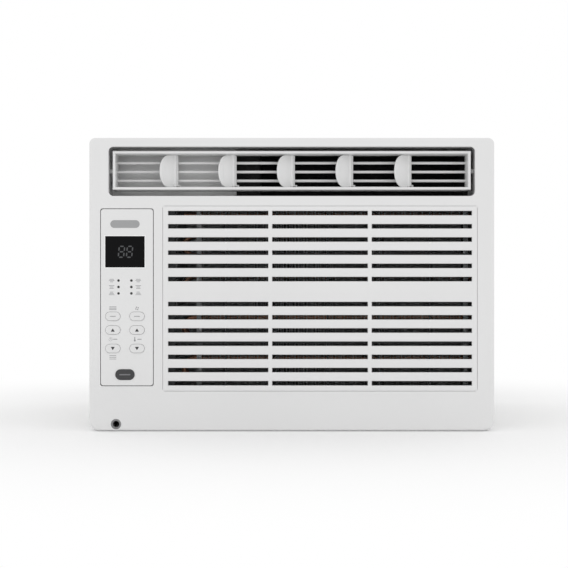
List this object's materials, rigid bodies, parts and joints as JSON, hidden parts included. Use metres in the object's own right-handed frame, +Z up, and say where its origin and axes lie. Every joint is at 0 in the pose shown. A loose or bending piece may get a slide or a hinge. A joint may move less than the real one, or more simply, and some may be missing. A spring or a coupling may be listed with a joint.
{
  "type": "window air conditioner",
  "caption": "Window air conditioner with a tilting outlet deflector, linked turning vanes, slotted intake grille, push-button column, slide-out filter and full refrigeration internals.",
  "frame": {"origin": "centre of the footprint, on the surface that the base runners stand on", "axes": "+X to the right as the user faces the front, +Y outdoors, +Z up"},
  "size_m": [0.47, 0.4, 0.34],
  "materials": {
    "panel_plastic": "satin moulded",
    "badge_plastic": "satin, blank",
    "smoked_window": "polished, nearly opaque",
    "dark_plastic": "moulded",
    "lens_plastic": "unlit lens",
    "power_key": "moulded",
    "key_plastic": "satin moulded",
    "circuit_board": "solder mask",
    "galvanised": "spangled zinc coat",
    "aluminium_can": "drawn can",
    "grey_rubber": "moulded",
    "filter_plastic": "moulded",
    "filter_mesh": "woven nylon net",
    "duct_foam": "black expanded foam",
    "motor_black": "semi-gloss black",
    "steel": "plated",
    "black_rubber": "moulded",
    "copper": "drawn copper tube",
    "cabinet_paint": "powder coat",
    "guard_paint": "dipped wire",
    "aluminium_fin": "stamped fin"
  },
  "bodies": {
    "chassis": {"accumulator": "motor_black", "base_pan": "galvanised", "blank_badge": "badge_plastic", "blower_scroll": "duct_foam", "bulkhead": "galvanised", "cabinet": "cabinet_paint", "cabinet_screws": "steel", "capillary_tube": "copper", "coil_end_plates": "galvanised", "compressor": "motor_black", "compressor_grommets": "black_rubber", "compressor_nuts": "steel", "condenser_fins": "aluminium_fin", "condenser_tubes": "copper", "control_board": "circuit_board", "control_box": "galvanised", "control_box_cover": "galvanised", "control_fascia": "panel_plastic", "cord_gland": "grey_rubber", "discharge_line": "copper", "display_module": "dark_plastic", "display_window": "smoked_window", "drain_trough": "duct_foam", "evaporator_fins": "aluminium_fin", "evaporator_tubes": "copper", "fan_motor": "motor_black", "fan_shroud": "dark_plastic", "filter_drier": "copper", "filter_rails": "panel_plastic", "front_panel": "panel_plastic", "indicator_lenses": "lens_plastic", "intake_grille": "panel_plastic", "motor_bracket": "galvanised", "outlet_liner": "panel_plastic", "panel_screws": "steel", "rear_guard": "guard_paint", "room_sensor": "lens_plastic", "run_capacitor": "aluminium_can", "suction_line": "copper", "tact_switches": "dark_plastic", "terminal_cover": "dark_plastic"},
    "deflector": {"deflector_frame": "panel_plastic"},
    "vane_link": {"vane_link_bar": "panel_plastic"},
    "fan_rotor": {"motor_shaft": "steel", "blower_wheel": "dark_plastic", "condenser_fan": "dark_plastic"},
    "air_filter": {"filter_frame": "filter_plastic", "filter_mesh": "filter_mesh"},
    "vane_body_1": {"vane_1": "panel_plastic"},
    "vane_body_2": {"vane_2": "panel_plastic"},
    "vane_body_3": {"vane_3": "panel_plastic"},
    "vane_body_4": {"vane_4": "panel_plastic"},
    "vane_body_5": {"vane_5": "panel_plastic"},
    "fan_button_key": {"fan_button": "key_plastic"},
    "mode_button_key": {"mode_button": "key_plastic"},
    "power_button_key": {"power_button": "power_key"},
    "temp_down_button_key": {"temp_down_button": "key_plastic"},
    "temp_up_button_key": {"temp_up_button": "key_plastic"},
    "timer_down_button_key": {"timer_down_button": "key_plastic"},
    "timer_up_button_key": {"timer_up_button": "key_plastic"}
  },
  "joints": [
    {"name": "deflector_tilt", "type": "hinge", "parent": "chassis", "child": "deflector", "pos_m": [0, -0.179, 0.3025], "axis": [1, 0, 0], "range_deg": [-20, 20]},
    {"name": "vane_1_turn", "type": "hinge", "parent": "deflector", "child": "vane_body_1", "pos_m": [-0.1369, -0.1775, 0.3025], "axis": [0, 0, 1], "range_deg": [-10, 90]},
    {"name": "vane_2_turn", "type": "hinge", "parent": "deflector", "child": "vane_body_2", "pos_m": [-0.0684, -0.1775, 0.3025], "axis": [0, 0, 1], "range_deg": [-10, 90]},
    {"name": "vane_3_turn", "type": "hinge", "parent": "deflector", "child": "vane_body_3", "pos_m": [0.0001, -0.1775, 0.3025], "axis": [0, 0, 1], "range_deg": [-10, 90]},
    {"name": "vane_4_turn", "type": "hinge", "parent": "deflector", "child": "vane_body_4", "pos_m": [0.0686, -0.1775, 0.3025], "axis": [0, 0, 1], "range_deg": [-10, 90]},
    {"name": "vane_5_turn", "type": "hinge", "parent": "deflector", "child": "vane_body_5", "pos_m": [0.1371, -0.1775, 0.3025], "axis": [0, 0, 1], "range_deg": [-10, 90]},
    {"name": "vane_link_turn", "type": "hinge", "parent": "vane_body_1", "child": "vane_link", "pos_m": [-0.13208, -0.17175, 0.3025], "axis": [0, 0, 1], "range_deg": [-90, 10]},
    {"name": "fan_spin", "type": "hinge", "parent": "chassis", "child": "fan_rotor", "pos_m": [0.07, 0, 0.138], "axis": [0, 1, 0], "continuous": true},
    {"name": "filter_slide", "type": "slide", "parent": "chassis", "child": "air_filter", "axis": [1, 0, 0], "range_m": [0, 0.36]},
    {"name": "fan_button_press", "type": "slide", "parent": "chassis", "child": "fan_button_key", "axis": [0, 1, 0], "range_m": [0, 0.0015], "stiffness_N_per_m": 300},
    {"name": "mode_button_press", "type": "slide", "parent": "chassis", "child": "mode_button_key", "axis": [0, 1, 0], "range_m": [0, 0.0015], "stiffness_N_per_m": 300},
    {"name": "power_button_press", "type": "slide", "parent": "chassis", "child": "power_button_key", "axis": [0, 1, 0], "range_m": [0, 0.0015], "stiffness_N_per_m": 300},
    {"name": "temp_down_button_press", "type": "slide", "parent": "chassis", "child": "temp_down_button_key", "axis": [0, 1, 0], "range_m": [0, 0.0015], "stiffness_N_per_m": 300},
    {"name": "temp_up_button_press", "type": "slide", "parent": "chassis", "child": "temp_up_button_key", "axis": [0, 1, 0], "range_m": [0, 0.0015], "stiffness_N_per_m": 300},
    {"name": "timer_down_button_press", "type": "slide", "parent": "chassis", "child": "timer_down_button_key", "axis": [0, 1, 0], "range_m": [0, 0.0015], "stiffness_N_per_m": 300},
    {"name": "timer_up_button_press", "type": "slide", "parent": "chassis", "child": "timer_up_button_key", "axis": [0, 1, 0], "range_m": [0, 0.0015], "stiffness_N_per_m": 300}
  ],
  "couplings": [
    {"joint": "vane_2_turn", "follows": "vane_1_turn", "ratio": 1},
    {"joint": "vane_3_turn", "follows": "vane_1_turn", "ratio": 1},
    {"joint": "vane_4_turn", "follows": "vane_1_turn", "ratio": 1},
    {"joint": "vane_5_turn", "follows": "vane_1_turn", "ratio": 1},
    {"joint": "vane_link_turn", "follows": "vane_1_turn", "ratio": -1}
  ]
}
